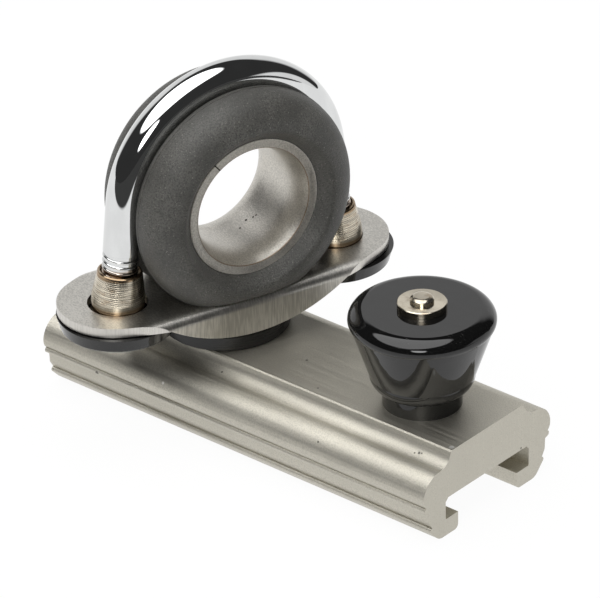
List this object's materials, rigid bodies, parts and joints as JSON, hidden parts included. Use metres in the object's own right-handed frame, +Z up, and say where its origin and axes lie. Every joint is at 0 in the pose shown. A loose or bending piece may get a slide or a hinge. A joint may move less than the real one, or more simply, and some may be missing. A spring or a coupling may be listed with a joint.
{
  "type": "genoa car",
  "caption": "Track slider with a swivelling bullseye fairlead held by a U-bolt on a flanged plate, and a spring plunger stop with a black knob.",
  "frame": {"origin": "mid-length and mid-width of the slider, on the underside of its lips", "axes": "+X along the slider towards the plunger stop, +Y across it, +Z up from the track"},
  "size_m": [0.0992, 0.0723, 0.0772],
  "materials": {
    "anodised_aluminium": "bead-blasted and clear anodised, satin",
    "pressed_stainless": "pressed sheet, tumbled satin",
    "polished_stainless": "mirror polished",
    "turned_stainless": "turned, fine rings",
    "satin_stainless": "bead-blasted satin",
    "spring_steel": "drawn wire",
    "moulded_nylon": "fine moulded texture, dark grey",
    "acetal_bearing": "moulded, black",
    "gloss_nylon": "moulded, gloss black"
  },
  "bodies": {
    "slider": {"slider_body": "anodised_aluminium", "swivel_bush": "acetal_bearing", "plunger_housing": "acetal_bearing", "plunger_spring": "spring_steel"},
    "fairlead": {"swivel_pin": "turned_stainless", "swivel_washer": "turned_stainless", "swivel_disc": "acetal_bearing", "base_plate": "pressed_stainless", "u_bolt": "polished_stainless", "sleeve_nut_left": "turned_stainless", "sleeve_nut_right": "turned_stainless", "nut_cap_left": "gloss_nylon", "nut_cap_right": "gloss_nylon", "bullseye": "moulded_nylon", "bullseye_liner": "satin_stainless"},
    "plunger": {"plunger_pin": "turned_stainless", "knob": "gloss_nylon", "knob_washer": "turned_stainless"}
  },
  "joints": [
    {"name": "swivel", "type": "hinge", "parent": "slider", "child": "fairlead", "pos_m": [-0.0179, 0, 0.0185], "axis": [0, 0, 1], "continuous": true},
    {"name": "plunger_lift", "type": "slide", "parent": "slider", "child": "plunger", "axis": [0, 0, 1], "range_m": [0, 0.006], "stiffness_N_per_m": 800, "springref_m": -0.006, "deforming": ["plunger_spring"]}
  ]
}
